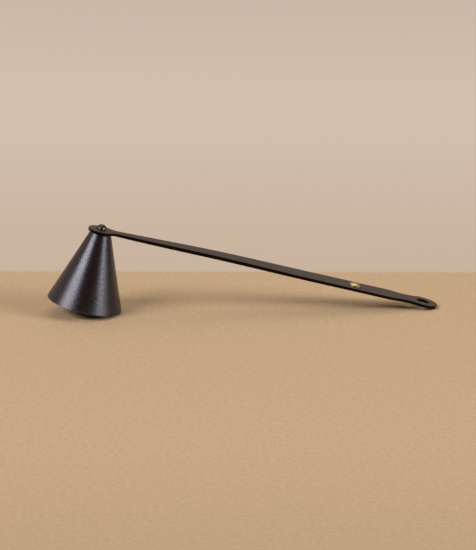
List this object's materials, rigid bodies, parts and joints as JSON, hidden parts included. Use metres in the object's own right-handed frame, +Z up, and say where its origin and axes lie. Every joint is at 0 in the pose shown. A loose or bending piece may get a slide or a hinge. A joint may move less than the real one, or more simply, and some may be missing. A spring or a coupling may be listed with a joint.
{
  "type": "candle snuffer",
  "caption": "Candle snuffer: a blackened iron cone riveted under a long, gently bowed strap handle that ends in a round paddle with a hanging hole.",
  "frame": {"origin": "on the table, under the middle of the overall length and on the handle's centre line", "axes": "+Z up; the snuffer lies at rest on the cone's rim and the handle's tip, and the handle runs along +X from the cone to the hanging hole"},
  "size_m": [0.268, 0.052, 0.0615],
  "materials": {
    "spun_iron": "satin",
    "forged_iron": "satin",
    "brass": "satin"
  },
  "bodies": {
    "handle": {"handle": "forged_iron", "cone_rivet": "forged_iron", "rivet_washer": "forged_iron", "brass_stud": "brass"},
    "cone": {"cone": "spun_iron"}
  },
  "joints": [
    {"name": "cone_swivel", "type": "hinge", "parent": "handle", "child": "cone", "pos_m": [-0.09686, 0, 0.05609], "axis": [0.2295, 0, 0.9733], "continuous": true}
  ]
}
